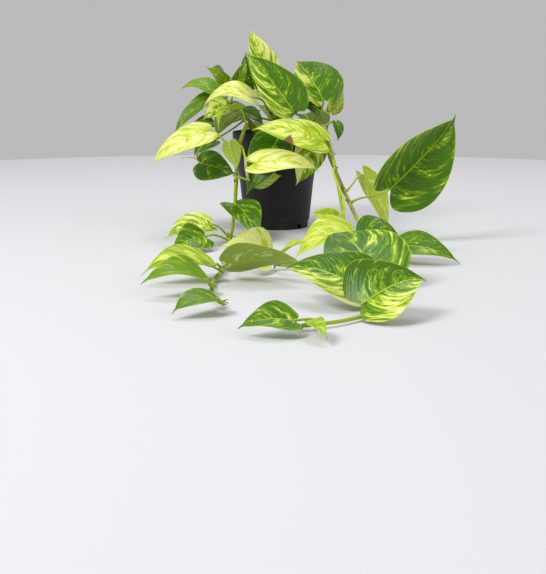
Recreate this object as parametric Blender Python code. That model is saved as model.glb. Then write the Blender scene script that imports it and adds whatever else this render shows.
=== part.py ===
"""Golden pothos in a black plastic nursery pot, with its trailing stems laid along the surface.

Metres, +Z up. The origin is the centre of the pot's underside, on the surface that the pot stands on.
The front of the plant, towards which its stems trail, is -Y. Stems and leaves are set out in millimetres.
"""

import math
from typing import NamedTuple

import bmesh
import bpy
from mathutils import Vector

MM = 0.001

# Pot: a thin injection-moulded shell with a rolled rim band, a foot ring and slots at the foot for water.
POT_HEIGHT = 130.0
POT_RIM_RADIUS = 60.0
POT_RIM_BAND = 9.0
POT_RIM_STEP = 1.6
POT_FOOT_RADIUS = 43.0
POT_WALL = 1.8
POT_FOOT_HEIGHT = 10.0
POT_FOOT_STEP = 0.7
POT_BASE_GAP = 3.0
POT_BOSS_RADIUS = 14.0
POT_FOOT_RING = 5.0
POT_SIDES = 40
SLOT_COUNT = 4
SLOT_WIDTH = 7.0
SLOT_HEIGHT = 6.5
SLOT_TURN = 45.0

# Soil: a plug of moist potting mix, a little below the rim.
SOIL_TOP = 114.0
SOIL_GAP = 0.7
SOIL_SIDES = 40
SOIL_BEVEL = 3.0

# Plant.
SURFACE_GAP = 1.8
ROUTE_STEP = 13.0
STEM_START = 0.5
BLADE_THICKNESS = 0.9
BLADE_ROWS = 6
BLADE_COLUMNS = 4
LOBE = 0.14
PETIOLE_RADIUS = 1.35
PETIOLE_RINGS = 4
PETIOLE_REACH = 0.36
PETIOLE_GAP = 0.45
JOIN_HALF_WIDTH = 2.2
JOIN_REACH = 3.8
TIP_HALF_WIDTH = 1.0
JOIN_ANGLES = ((210, 150), (270, 90), (330, 30))

BLACK_PLASTIC = "pot_plastic"
SOIL = "potting_soil"
GREEN_STEM = "stem_green"
WOODY_STEM = "stem_woody"
DARK = "leaf_dark"
MOTTLED = "leaf_mottled"
PALE = "leaf_pale"
YOUNG = "leaf_young"

FINISHES = {
    BLACK_PLASTIC: ((0.022, 0.021, 0.023), 0.42),
    SOIL: ((0.045, 0.028, 0.018), 0.95),
    GREEN_STEM: ((0.28, 0.45, 0.06), 0.45),
    WOODY_STEM: ((0.42, 0.33, 0.18), 0.60),
    DARK: ((0.05, 0.17, 0.03), 0.35),
    MOTTLED: ((0.22, 0.38, 0.06), 0.38),
    PALE: ((0.60, 0.68, 0.30), 0.42),
    YOUNG: ((0.45, 0.62, 0.12), 0.40),
}


class Stem(NamedTuple):
    """A stem: its radius, its finish and the points that its centreline passes through."""

    name: str
    radius: float
    finish: str
    route: tuple


class Leaf(NamedTuple):
    """A blade with its petiole. It leaves its stem at station, a share of the stem's length.

    base and tip are the ends of the midrib, face is the way that the upper side looks, arch is how far
    the midrib bows towards that side, and fold is the angle by which each half rises from the midrib.
    droop is how far the tip falls back, and roll how much the edges curl up, or down if negative.
    """

    name: str
    stem: str
    station: float
    base: tuple
    tip: tuple
    face: tuple
    width: float
    arch: float
    fold: float
    droop: float
    roll: float
    finish: str


STEMS = (
    Stem("vine_left", 2.8, GREEN_STEM, (
        (-22, -18, 114), (-30, -28, 130), (-38, -44, 141), (-45, -56, 129), (-52, -64, 97), (-54, -82, 50),
        (-57, -112, 15), (-59, -150, 5), (-58, -220, 4), (-56, -300, 4), (-60, -370, 4), (-66, -440, 4),
        (-62, -505, 4), (-50, -552, 5))),
    Stem("vine_middle", 2.6, GREEN_STEM, (
        (25, -12, 114), (40, -32, 132), (58, -56, 138), (68, -77, 118), (75, -104, 87), (80, -124, 56),
        (83, -153, 32), (84, -195, 12), (82, -240, 4), (70, -290, 4), (44, -328, 4), (10, -346, 5),
        (-14, -344, 9))),
    Stem("vine_right", 2.8, WOODY_STEM, (
        (40, 2, 114), (52, -18, 138), (65, -42, 134), (68, -68, 106), (76, -88, 84), (89, -116, 54),
        (101, -160, 28), (110, -212, 10), (117, -262, 4), (124, -330, 4), (130, -410, 4), (122, -490, 4),
        (98, -560, 4), (60, -612, 4), (18, -640, 5))),
    Stem("stem_left", 2.4, GREEN_STEM, (
        (-20, 8, 114), (-28, 4, 134), (-44, 0, 150), (-60, -2, 162), (-72, 2, 176))),
    Stem("stem_top", 2.6, GREEN_STEM, (
        (-2, 10, 114), (-5, 4, 140), (-8, 0, 165), (-2, 4, 186))),
    Stem("stem_right", 2.4, GREEN_STEM, (
        (20, 14, 114), (34, 10, 132), (50, 8, 144), (62, 12, 160))),
)

LEAVES = (
    Leaf("crest", "stem_top", 0.98, (-10, 16, 198), (-37, 22, 268), (0.1, -1, 0.3), 42, 4, 12, 3, -0.1, PALE),
    Leaf("crown_front", "stem_top", 0.72, (19, -58, 164), (-40, -34, 236), (0.25, -1, 0.8),
         64, 3, 8, 5, 0.08, DARK),
    Leaf("right_shoulder", "stem_right", 0.9, (62, -11, 173), (26, 29, 227), (0.42, -1, 0.4),
         69, 5, 22, 3, 0.06, DARK),
    Leaf("right_behind", "stem_right", 0.98, (76, 28, 156), (92, 32, 183), (0.3, -1, 0.1),
         21, 4, 12, 0, 0, PALE),
    Leaf("long_pale", "vine_middle", 0.24, (57, -94, 124), (-32, -88, 140), (0, -0.8, 0.9),
         52, 9, 6, 3, -0.12, MOTTLED),
    Leaf("front_cream", "vine_left", 0.12, (-28, -116, 97), (54, -112, 90), (0, -0.7, 1),
         47, 9, 8, 3, -0.1, PALE),
    Leaf("front_dark", "vine_middle", 0.07, (2, -66, 125), (-40, -94, 54), (-0.1, -1, 0.35),
         54, 6, 8, 3, 0.06, DARK),
    Leaf("front_low", "vine_left", 0.185, (-26, -78, 68), (6, -80, 77), (-0.1, 1, 0.3),
         24, 3, 8, -2, 0, YOUNG),
    Leaf("right_low", "vine_middle", 0.16, (48, -76, 122), (26, -86, 65), (0.25, -1, 0.1),
         44, 5, 10, 4, -0.1, MOTTLED),
    Leaf("left_cream", "vine_left", 0.13, (-92, -75, 135), (-163, -92, 96), (-0.1, -0.7, 1),
         50, 7, -8, 4, 0.1, PALE),
    Leaf("left_arch", "vine_left", 0.07, (-50, -62, 164), (-77, -92, 140), (-0.7, -0.4, 0.6),
         22, 10, 20, 3, 0, YOUNG),
    Leaf("left_upper", "stem_top", 0.6, (-32, -56, 177), (-98, -50, 166), (0, -0.5, 1),
         44, 16, 4, 3, 0.08, PALE),
    Leaf("left_dark", "stem_left", 0.72, (-91, -14, 176), (-140, -26, 130), (-0.5, -0.7, 0.6),
         29, 3, 6, 4, 0.1, DARK),
    Leaf("left_low", "stem_left", 0.64, (-103, -42, 91), (-54, -64, 78), (0, -1, 0.35),
         44, 4, -14, 2, 0.08, DARK),
    Leaf("left_far", "stem_left", 0.8, (-84, -17, 185), (-130, -6, 189), (0, -0.5, 1),
         36, 7, 8, 3, 0.08, YOUNG),
    Leaf("left_crest", "stem_top", 0.8, (-71, 26, 206), (-88, 10, 216), (-0.2, -0.7, 0.8),
         20, 3, 10, 2, 0, DARK),
    Leaf("left_slim", "stem_left", 0.97, (-68, 12, 190), (-95, 2, 217), (0.3, -0.8, 0.5),
         22, 3, 14, 2, 0, YOUNG),
    Leaf("top_slim", "stem_left", 0.86, (-56, -10, 195), (-41, 6, 226), (0.6, -0.8, 0.1),
         19, 3, 14, 2, 0, MOTTLED),
    Leaf("inner_teal", "stem_top", 0.45, (-46, -26, 157), (-17, -44, 143), (0.2, -0.8, 0.8),
         28, 4, 8, 2, 0.05, DARK),
    Leaf("inner_dark", "stem_top", 0.4, (-2, -28, 139), (28, -38, 147), (0, -1, 0.4), 27, 3, 8, 2, 0, DARK),
    Leaf("inner_right", "stem_right", 0.35, (58, -4, 158), (34, -24, 166), (0, -1, 0.5),
         28, 4, 10, 2, 0, DARK),
    Leaf("left_teal", "stem_left", 0.55, (-86, -21, 142), (-110, -27, 146), (-0.2, -0.6, 0.8),
         22, 3, 8, 2, 0, DARK),
    Leaf("left_mottled", "stem_left", 0.6, (-68, -26, 166), (-98, -40, 149), (-0.2, -1, 0.5),
         32, 4, 8, 3, 0.08, MOTTLED),
    Leaf("round_pale", "vine_left", 0.12, (-61, -80, 119), (-51, -86, 86), (0, 1, 0.1),
         24, 3, 4, 0, 0, YOUNG),
    Leaf("right_edge", "vine_right", 0.07, (79, -36, 144), (82, -42, 120), (0.5, -0.8, 0.3),
         17, 3, 12, 2, 0, DARK),
    Leaf("left_shadow", "stem_left", 0.5, (-84, -5, 118), (-115, -2, 97), (0, -0.6, 0.8),
         31, 5, 10, 3, 0, DARK),
    Leaf("back_left", "stem_left", 0.45, (-42, 48, 158), (-90, 96, 118), (-0.3, 0.8, 0.8),
         60, 10, 8, 6, 0.1, DARK),
    Leaf("back_middle", "stem_top", 0.55, (6, 50, 164), (4, 128, 122), (0, 0.8, 0.9),
         68, 12, 8, 6, -0.1, MOTTLED),
    Leaf("back_right", "stem_right", 0.6, (40, 56, 150), (72, 114, 112), (0.3, 0.8, 0.8),
         52, 9, 8, 5, 0.1, DARK),
    Leaf("back_low", "stem_top", 0.25, (-14, 66, 132), (-22, 104, 66), (0, 1, 0.3),
         56, 9, 10, 5, 0.08, MOTTLED),
    Leaf("back_low_right", "stem_right", 0.2, (24, 76, 136), (44, 104, 74), (0.3, 1, 0.3),
         44, 8, 10, 4, -0.08, PALE),
    Leaf("back_high", "stem_top", 0.9, (-30, 34, 188), (-43, 36, 236), (-0.1, -1, 0.2),
         40, 5, 8, 3, 0.05, DARK),
    Leaf("trail_hanging", "vine_left", 0.2, (-54, -98, 43), (-22, -178, 6), (0.1, -0.6, 0.9),
         48, 8, 8, 2, 0.08, DARK),
    Leaf("trail_striped", "vine_left", 0.355, (-84, -174, 26), (-138, -186, 12), (0, -0.6, 0.9),
         40, 8, 8, 3, 0.08, MOTTLED),
    Leaf("trail_twin", "vine_left", 0.38, (-88, -206, 16), (-126, -240, 5), (0.2, -0.7, 0.7),
         42, 7, 10, 1, 0, DARK),
    Leaf("trail_olive", "vine_left", 0.66, (-46, -416, 20), (28, -440, 24), (0, 0.6, 0.8),
         58, 6, 8, 3, 0, YOUNG),
    Leaf("trail_long", "vine_left", 0.7, (-70, -400, 14), (-138, -434, 16), (0, -0.35, 1),
         50, 10, 12, 4, 0.08, PALE),
    Leaf("trail_outer", "vine_left", 0.85, (-72, -472, 13), (-130, -505, 20), (0, -0.4, 1),
         46, 9, 12, 4, 0.1, PALE),
    Leaf("trail_end", "vine_left", 0.98, (-56, -562, 12), (-94, -596, 8), (-0.1, -0.4, 1),
         36, 6, 10, 1, 0, DARK),
    Leaf("middle_yellow", "vine_middle", 0.97, (-12, -358, 18), (-58, -374, 34), (0, -0.8, 0.6),
         50, 6, 14, 4, 0.1, PALE),
    Leaf("middle_furled", "vine_middle", 0.985, (6, -354, 22), (32, -376, 36), (0, -0.5, 1),
         16, 3, 20, 0, 0, YOUNG),
    Leaf("upright", "vine_right", 0.25, (141, -162, 70), (225, -144, 158), (0.36, -1, -0.1),
         87, 5, 26, 6, 0.04, DARK),
    Leaf("hanging_pale", "vine_right", 0.22, (112, -108, 80), (141, -134, 8), (0.6, 0.7, 0.4),
         38, 6, 8, 3, 0.06, YOUNG),
    Leaf("low_right", "vine_right", 0.36, (134, -290, 17), (203, -318, 5), (0, -0.6, 1),
         44, 9, 8, 2, 0.1, DARK),
    Leaf("table_dark", "vine_middle", 0.5, (99, -256, 26), (143, -252, 27), (0, -0.6, 1),
         52, 5, 8, 3, 0.05, DARK),
    Leaf("table_pale", "vine_middle", 0.66, (85, -256, 32), (20, -298, 8), (0, -0.5, 1),
         52, 9, 10, 2, 0.08, PALE),
    Leaf("curled_young", "vine_middle", 0.29, (72, -178, 36), (42, -174, 41), (0.3, -1, 0.2),
         19, 5, 6, 3, 0, YOUNG),
    Leaf("heart", "vine_right", 0.68, (98, -455, 16), (62, -362, 48), (0, -0.5, 1), 88, 7, 8, 4, 0.06, DARK),
    Leaf("broad_mottled", "vine_right", 0.8, (82, -536, 14), (6, -500, 34), (0, -0.5, 1),
         72, 7, 8, 5, 0.08, MOTTLED),
    Leaf("broad_end", "vine_right", 0.88, (74, -590, 14), (132, -572, 36), (0, -0.6, 1),
         78, 6, 8, 5, 0.08, MOTTLED),
    Leaf("small_end", "vine_right", 0.98, (12, -650, 12), (-34, -660, 9), (0, -0.5, 1),
         38, 5, 12, 1, 0, DARK),
    Leaf("furled_end", "vine_right", 0.99, (26, -654, 12), (38, -696, 8), (0, -0.5, 1),
         16, 3, 20, 0, 0, YOUNG),
)


def clear_scene():
    for thing in list(bpy.data.objects):
        bpy.data.objects.remove(thing, do_unlink=True)


def make_materials():
    made = {}
    for name, (colour, roughness) in FINISHES.items():
        material = bpy.data.materials.new(name)
        material.use_nodes = True
        shader = material.node_tree.nodes["Principled BSDF"]
        shader.inputs["Base Color"].default_value = (*colour, 1.0)
        shader.inputs["Roughness"].default_value = roughness
        made[name] = material
    return made


def add_object(name, data, material):
    thing = bpy.data.objects.new(name, data)
    bpy.context.scene.collection.objects.link(thing)
    data.materials.append(material)
    return thing


def finish_mesh(name, bm, material, smooth=True):
    bmesh.ops.recalc_face_normals(bm, faces=bm.faces)
    if bm.calc_volume(signed=True) < 0:
        bmesh.ops.reverse_faces(bm, faces=bm.faces)
    mesh = bpy.data.meshes.new(name)
    bm.to_mesh(mesh)
    bm.free()
    if smooth:
        mesh.shade_smooth()
        mesh.set_sharp_from_angle(angle=math.radians(40))
    return add_object(name, mesh, material)


def spin_profile(profile, sides):
    """A solid turned about Z from an outline that runs from the axis back to the axis, in millimetres."""
    bm = bmesh.new()
    ring = [bm.verts.new((radius * MM, 0, height * MM)) for radius, height in profile]
    edges = [bm.edges.new(pair) for pair in zip(ring, ring[1:])]
    bmesh.ops.spin(
        bm, geom=ring + edges, cent=(0, 0, 0), axis=(0, 0, 1), angle=math.tau, steps=sides, use_merge=True
    )
    bmesh.ops.remove_doubles(bm, verts=bm.verts, dist=1e-6)
    return bm


def wall_radius(height):
    """The outer radius of the tapered wall at a height, without its rim band."""
    share = height / POT_HEIGHT
    return POT_FOOT_RADIUS + (POT_RIM_RADIUS - POT_RIM_STEP - POT_FOOT_RADIUS) * share


def build_pot(material):
    band_foot = POT_HEIGHT - POT_RIM_BAND
    plate_top = POT_BASE_GAP + POT_WALL
    ring_inside = POT_FOOT_RADIUS - POT_FOOT_RING
    axis = 0.0
    profile = (
        (axis, 0.0),
        (POT_BOSS_RADIUS, 0.0),
        (POT_BOSS_RADIUS + 1.0, POT_BASE_GAP),
        (ring_inside, POT_BASE_GAP),
        (ring_inside + 0.5, 0.0),
        (POT_FOOT_RADIUS - 0.6, 0.0),
        (POT_FOOT_RADIUS, 0.6),
        (wall_radius(POT_FOOT_HEIGHT), POT_FOOT_HEIGHT),
        (wall_radius(POT_FOOT_HEIGHT) + POT_FOOT_STEP, POT_FOOT_HEIGHT + 0.8),
        (wall_radius(band_foot), band_foot - 1.2),
        (POT_RIM_RADIUS, band_foot),
        (POT_RIM_RADIUS, POT_HEIGHT - 1.0),
        (POT_RIM_RADIUS - 0.8, POT_HEIGHT),
        (POT_RIM_RADIUS - POT_WALL - 0.6, POT_HEIGHT),
        (wall_radius(band_foot) - POT_WALL, band_foot - 1.2),
        (wall_radius(plate_top) - POT_WALL, plate_top),
        (axis, plate_top),
    )
    bm = spin_profile(profile, POT_SIDES)
    pot = finish_mesh("pot", bm, material)
    for i in range(SLOT_COUNT):
        turn = math.radians(SLOT_TURN + 360.0 * i / SLOT_COUNT)
        bm = bmesh.new()
        bmesh.ops.create_cube(bm, size=1.0)
        bmesh.ops.scale(bm, vec=(16 * MM, SLOT_WIDTH * MM, 2 * SLOT_HEIGHT * MM), verts=bm.verts)
        cutter = finish_mesh(f"slot_cutter_{i}", bm, material, smooth=False)
        reach = POT_FOOT_RADIUS - 0.5
        cutter.location = (reach * math.cos(turn) * MM, reach * math.sin(turn) * MM, 0)
        cutter.rotation_euler = (0, 0, turn)
        cutter.hide_render = True
        cutter.display_type = "WIRE"
        cut = pot.modifiers.new(f"slot_{i}", "BOOLEAN")
        cut.operation = "DIFFERENCE"
        cut.object = cutter
    return pot


def build_soil(material):
    plate_top = POT_BASE_GAP + POT_WALL
    low = plate_top + SOIL_GAP
    profile = (
        (0.0, low),
        (wall_radius(low) - POT_WALL - SOIL_GAP, low),
        (wall_radius(SOIL_TOP) - POT_WALL - SOIL_GAP, SOIL_TOP - SOIL_BEVEL),
        (wall_radius(SOIL_TOP) - POT_WALL - SOIL_GAP - SOIL_BEVEL, SOIL_TOP),
        (0.0, SOIL_TOP),
    )
    return finish_mesh("soil", spin_profile(profile, SOIL_SIDES), material)


def catmull_rom(a, b, c, d, t):
    return 0.5 * (2 * b + (c - a) * t + (2 * a - 5 * b + 4 * c - d) * t**2 + (3 * b - a - 3 * c + d) * t**3)


def smooth_route(route):
    """Points about ROUTE_STEP apart on a smooth curve through the route's points, in millimetres."""
    points = [Vector(p) for p in route]
    ends = [2 * points[0] - points[1], *points, 2 * points[-1] - points[-2]]
    line = []
    for i in range(len(points) - 1):
        steps = max(1, round((points[i + 1] - points[i]).length / ROUTE_STEP))
        line += [catmull_rom(*ends[i : i + 4], k / steps) for k in range(steps)]
    line.append(points[-1])
    line[0] = Vector((line[1].x, line[1].y, SOIL_TOP + STEM_START))
    return line


def point_at(line, share):
    """The point at a share of a line's length, and the line's direction there."""
    lengths = [(b - a).length for a, b in zip(line, line[1:])]
    left = share * sum(lengths)
    for a, b, length in zip(line, line[1:], lengths):
        if left <= length:
            return a.lerp(b, left / length), (b - a).normalized()
        left -= length
    return line[-1], (line[-1] - line[-2]).normalized()


def build_stem(stem, material):
    line = smooth_route(stem.route)
    curve = bpy.data.curves.new(stem.name, "CURVE")
    curve.dimensions = "3D"
    curve.bevel_depth = stem.radius * MM
    curve.bevel_resolution = 1
    curve.use_fill_caps = True
    spline = curve.splines.new("POLY")
    spline.points.add(len(line) - 1)
    for i, (point, place) in enumerate(zip(spline.points, line)):
        point.co = (*(place * MM), 1.0)
        point.radius = 1.0 - 0.35 * i / (len(line) - 1)
    return add_object(stem.name, curve, material)


def bezier(a, b, c, d, t):
    return (1 - t) ** 3 * a + 3 * (1 - t) ** 2 * t * b + 3 * (1 - t) * t**2 * c + t**3 * d


class LeafShape:
    """Where each point of one leaf lies, in millimetres."""

    def __init__(self, leaf):
        self.leaf = leaf
        self.base = Vector(leaf.base)
        chord = Vector(leaf.tip) - self.base
        self.length = chord.length
        self.along = chord.normalized()
        face = Vector(leaf.face)
        self.normal = (face - self.along * face.dot(self.along)).normalized()
        self.side = self.along.cross(self.normal)

    def outline(self, t):
        """Half the blade's width at t, from 0 at its base to 1 at its tip, as a share of its greatest."""
        return (t + 0.07) ** 0.5 * (1 - t) ** 1.25 / 0.395

    def blade(self, u, t):
        """The point at u across, from -1 to 1, and t along the blade."""
        inner = min(1.0, abs(u) * 2)
        half = max(self.leaf.width / 2 * self.outline(t), TIP_HALF_WIDTH)
        across = abs(u) * half
        if t == 0 and abs(u) <= 0.5:
            across = inner * min(JOIN_HALF_WIDTH, 0.3 * half)
        lobe = LOBE * math.sin(2.53 * abs(u)) * (1 - t) ** 3
        if t == 0:
            lobe = 0.0 if abs(u) <= 0.5 else LOBE * 0.6
        share = t - lobe
        leaf = self.leaf
        lift = 4 * leaf.arch * share * (1 - share) + across * math.tan(math.radians(leaf.fold))
        lift += leaf.roll * across * abs(u) - leaf.droop * max(0.0, (share - 0.55) / 0.45) ** 2
        place = self.base + self.along * (share * self.length) + self.normal * lift
        place += self.side * math.copysign(across, u)
        place.z = max(place.z, SURFACE_GAP)
        return place

    def petiole(self, line, radius):
        """The petiole's centreline from the blade's base to just outside its stem."""
        place, tangent = point_at(line, self.leaf.station)
        out = self.base - place
        out = out - tangent * out.dot(tangent)
        out = out.normalized()
        start = place + out * (radius + PETIOLE_GAP)
        reach = (self.base - start).length * PETIOLE_REACH
        leave = (out + (self.base - start).normalized()).normalized()
        arrive = (self.along * 2 + (self.base - start).normalized()).normalized()
        path = [
            bezier(self.base, self.base - arrive * reach, start + leave * reach, start, k / PETIOLE_RINGS)
            for k in range(PETIOLE_RINGS + 1)
        ]
        return path, out


def petiole_sections(shape, path, out):
    """The place, side and normal of each ring down the petiole, each turned as little as possible."""
    side = shape.side
    sections = []
    for k in range(1, len(path)):
        after = path[min(k + 1, len(path) - 1)]
        tangent = (path[k - 1] - after).normalized() if k < len(path) - 1 else out
        side = (side - tangent * side.dot(tangent)).normalized()
        sections.append((path[k], side, side.cross(tangent)))
    return sections


def ring_angles(shape, verts):
    """The angle round the petiole, from its side towards its upper face, for each corner of the join."""
    across = sorted(range(len(verts)), key=lambda i: (verts[i].co - shape.base).dot(shape.side))
    angles = {}
    for column, (below, above) in enumerate(JOIN_ANGLES):
        pair = sorted(across[2 * column : 2 * column + 2], key=lambda i: verts[i].co.dot(shape.normal))
        angles[pair[0]] = math.radians(below)
        angles[pair[1]] = math.radians(above)
    return angles


def build_leaf(leaf, line, radius, material):
    shape = LeafShape(leaf)
    bm = bmesh.new()
    bmesh.ops.create_grid(bm, x_segments=BLADE_COLUMNS, y_segments=BLADE_ROWS, size=1.0)
    for vert in bm.verts:
        u = round(vert.co.x, 4)
        t = round((vert.co.y + 1) / 2, 4)
        vert.co = shape.blade(u, t)
    bmesh.ops.recalc_face_normals(bm, faces=bm.faces)
    bmesh.ops.solidify(bm, geom=bm.faces[:], thickness=BLADE_THICKNESS)
    join = [f for f in bm.faces if all((v.co - shape.base).length < JOIN_REACH for v in f.verts)]
    face = bmesh.ops.dissolve_faces(bm, faces=join)["region"][0]
    angles = ring_angles(shape, list(face.verts))
    path, out = shape.petiole(line, radius)
    for place, side, normal in petiole_sections(shape, path, out):
        face = bmesh.ops.extrude_discrete_faces(bm, faces=[face])["faces"][0]
        for i, vert in enumerate(face.verts):
            turn = side * math.cos(angles[i]) + normal * math.sin(angles[i])
            vert.co = place + turn * PETIOLE_RADIUS
    bmesh.ops.scale(bm, vec=(MM, MM, MM), verts=bm.verts)
    return finish_mesh(f"{leaf.name}_leaf", bm, material)


def main():
    clear_scene()
    materials = make_materials()
    build_pot(materials[BLACK_PLASTIC])
    build_soil(materials[SOIL])
    stems = {stem.name: stem for stem in STEMS}
    lines = {stem.name: smooth_route(stem.route) for stem in STEMS}
    for stem in STEMS:
        build_stem(stem, materials[stem.finish])
    for leaf in LEAVES:
        build_leaf(leaf, lines[leaf.stem], stems[leaf.stem].radius, materials[leaf.finish])


main()
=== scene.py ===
"""A golden pothos in a black nursery pot: leaves, stems, soil and pot, each with its own finish.

Metres, +Z up. Stems and leaves are set out in millimetres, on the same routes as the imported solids.
"""

import math
import random
from typing import NamedTuple

import bmesh
import bpy
from mathutils import Matrix, Vector, noise


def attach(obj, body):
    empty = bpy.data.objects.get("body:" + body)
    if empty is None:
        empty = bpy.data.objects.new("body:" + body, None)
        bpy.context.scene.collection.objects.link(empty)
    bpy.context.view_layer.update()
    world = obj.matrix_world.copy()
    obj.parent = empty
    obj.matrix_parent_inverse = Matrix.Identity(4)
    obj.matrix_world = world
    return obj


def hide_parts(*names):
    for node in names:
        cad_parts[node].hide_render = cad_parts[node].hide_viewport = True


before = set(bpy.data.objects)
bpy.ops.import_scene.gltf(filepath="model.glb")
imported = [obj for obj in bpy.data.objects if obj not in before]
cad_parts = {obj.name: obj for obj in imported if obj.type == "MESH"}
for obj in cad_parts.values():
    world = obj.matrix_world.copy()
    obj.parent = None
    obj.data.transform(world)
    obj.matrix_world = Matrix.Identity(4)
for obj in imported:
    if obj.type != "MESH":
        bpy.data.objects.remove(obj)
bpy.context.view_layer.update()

MM = 0.001

# Camera and light.
CAMERA_PLACE = (-0.005, -1.600, 0.225)
CAMERA_TILT = 11.0
CAMERA_LENS = 73.2
CAMERA_SENSOR = 36.0
SKY_STRENGTH = 0.50
FLOOR_COLOUR = (0.72, 0.72, 0.74)
FLOOR_RADIUS = 1.25

# Blade: the grid that it is made on, and its outline. Places along it are shares of its length, and
# TIP_CURL is a share of its width.
BLADE_COLUMNS = 26
BLADE_ROWS = 44
BLADE_THICKNESS = 0.55
BASE_BLUNTNESS = 0.07
TIP_TAPER = 1.25
OUTLINE_PEAK = 0.395
LOBE = 0.14
LOBE_SWEEP = 2.53
DROOP_START = 0.55
TIP_HALF_WIDTH = 0.35
TIP_PINCH = 0.42
TIP_PINCH_PLACE = 0.925
TIP_PINCH_LENGTH = 0.05
TIP_CURL = 0.04
TIP_CURL_START = 0.90
SURFACE_GAP = 1.8

# Blade: how its surface is worked. VEIN_SLANT is how far a side vein runs towards the tip, as the
# factors of the distance across and of its square. WAVE_HEIGHT is a share of the blade's width.
GROOVE_DEPTH = 0.55
GROOVE_WIDTH = 1.1
VEIN_COUNT = 9
VEIN_SLANT = (0.22, 0.15)
VEIN_RELIEF = 0.16
FULL_RELIEF_WIDTH = 40
WAVE_HEIGHT = 0.028
WAVE_TURNS = 1.3
WAVE_SHIFT = 2.4
WAVE_OFFSET = 2.1

# What each corner of a leaf carries for its materials, and where leaves are dry.
LEAF_LAYERS = ("u", "t", "tone", "cream", "seed", "turn", "dry")
DRY_TIP_START = 0.975
DRY_TIP = 0.7
DRY_RANGE = (0.42, 0.60)
SCORCHED = "long_pale"
SCORCH_PLACE = (-1.0, 0.46)
SCORCH_SIZE = (1.30, 0.150)

# Petiole and stem.
PETIOLE_RADIUS = 1.25
PETIOLE_STEPS = 18
PETIOLE_SIDES = 10
PETIOLE_REACH = 0.36
PETIOLE_GAP = 0.45
PETIOLE_FOOT = 1.9
MIDRIB_SHARE = 0.8
MIDRIB_STEPS = 12
MIDRIB_DROP = 0.1
MIDRIB_START = 0.8
MIDRIB_TAPER = 0.85
ROUTE_STEP = 13.0
STEM_SIDES = 14
STEM_RING_STEP = 3.0
STEM_TAPER = 0.35
STEM_FOOT_DEPTH = 4
WOODY_FADE = 2.2
NODE_SWELL = 0.20
NODE_LENGTH = 4.0
NODE_RING_LENGTH = 1.8
ROOT_COUNT = 2
ROOT_RADII = (0.75, 0.62, 0.45, 0.2)
ROOT_SIDES = 6
DETAIL_SIDES = 10
DETAIL_STEP = 1.5
SOIL_TOP = 114.0

# Pot and soil.
POT_HEIGHT = 130.0
POT_RIM_RADIUS = 60.0
POT_RIM_BAND = 9.0
POT_RIM_STEP = 1.6
POT_FOOT_RADIUS = 43.0
POT_FOOT_HEIGHT = 10.0
POT_FOOT_STEP = 0.7
POT_LEDGE = 64.0
POT_WALL = 1.8
POT_BASE_GAP = 3.0
POT_BOSS_RADIUS = 14.0
POT_FOOT_RING = 5.0
POT_SIDES = 144
SLOT_COUNT = 4
SLOT_WIDTH = 7.0
SLOT_HEIGHT = 6.5
SLOT_TURN = 45.0
SLOT_DEPTH = 16
SLOT_CORNER = 1.4
SOIL_GAP = 0.7
SOIL_RINGS = 26
SOIL_SIDES = 96
CRUST_ROUGHNESS = 1.1
CRUST_DROP = 0.9
CRUMB_COUNT = 260
CRUMB_SEED = 7

# Leaf colours, from the deepest green of a plain blade to the cream of a variegated one.
DEEP_GREEN = (0.022, 0.105, 0.001)
MID_GREEN = (0.088, 0.265, 0.003)
LIGHT_GREEN = (0.270, 0.500, 0.012)
YELLOW_GREEN = (0.560, 0.700, 0.030)
CREAM = (0.790, 0.810, 0.220)
PALE_CREAM = (0.850, 0.860, 0.430)
PAPER = (0.720, 0.640, 0.380)
DRY_BROWN = (0.190, 0.112, 0.008)
BACK_GREEN = (0.190, 0.290, 0.060)
BACK_PALE = (0.620, 0.700, 0.270)
PETIOLE_GREEN = (0.300, 0.440, 0.025)
STEM_GREEN = (0.300, 0.420, 0.025)
STEM_BARK = (0.450, 0.340, 0.180)
NODE_BROWN = (0.180, 0.085, 0.030)
# Share of a colour kept in the painted shade of a dry scrap's creases, and in a stem's darker patches of
# bark.
SHADE_AND_DARK_BARK = 0.55

# Pot, soil and room colours.
PLASTIC_BLACK = (0.019, 0.017, 0.020)
PLASTIC_DUST = (0.085, 0.080, 0.078)
PEAT_DARK = (0.020, 0.012, 0.007)
PEAT_LIGHT = (0.090, 0.055, 0.030)
PEAT_FIBRE = (0.200, 0.140, 0.080)
SKY_COLOUR = (0.985, 0.985, 1.0)


class Light(NamedTuple):
    """A round soft light: where it is, in metres, its diameter and its power."""

    name: str
    place: tuple
    size: float
    power: float


class Stem(NamedTuple):
    """A stem: its radius, its record slot, which is not used, how woody it is at its foot, and its
    centreline.
    """

    name: str
    radius: float
    slot: str
    woody: float
    route: tuple


class Detail(NamedTuple):
    """A small piece drawn along a route, with its radius at even steps, and the node that it belongs to."""

    name: str
    node: str
    slot: str
    colour: tuple
    route: tuple
    radii: tuple


class Leaf(NamedTuple):
    """A blade with its petiole, on its stem at station, a share of the stem's length.

    base and tip are the ends of the midrib, face is the way that the upper side looks, arch is how far
    the midrib bows towards that side, and fold is the angle by which each half rises from the midrib.
    droop is how far the tip falls back, and roll how much the edges curl up, or down if negative.
    tone goes from deep to light green, cream is how much of the blade is variegated, and bias is how
    much more of that falls on one half.
    """

    name: str
    stem: str
    station: float
    base: tuple
    tip: tuple
    face: tuple
    width: float
    arch: float
    fold: float
    droop: float
    roll: float
    slot: str
    tone: float
    cream: float
    bias: float


DARK = "leaf_dark"
MOTTLED = "leaf_mottled"
PALE = "leaf_pale"
YOUNG = "leaf_young"

LIGHT_TARGET = (0, -0.1, 0.1)
LIGHTS = (
    Light("key_light", (-1.3, -1.4, 1.7), 1.0, 34.0),
    Light("fill_light", (1.6, -1.2, 1.0), 1.4, 6.0),
    Light("top_light", (0.2, 0.5, 2.0), 1.0, 12.0),
)

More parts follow.
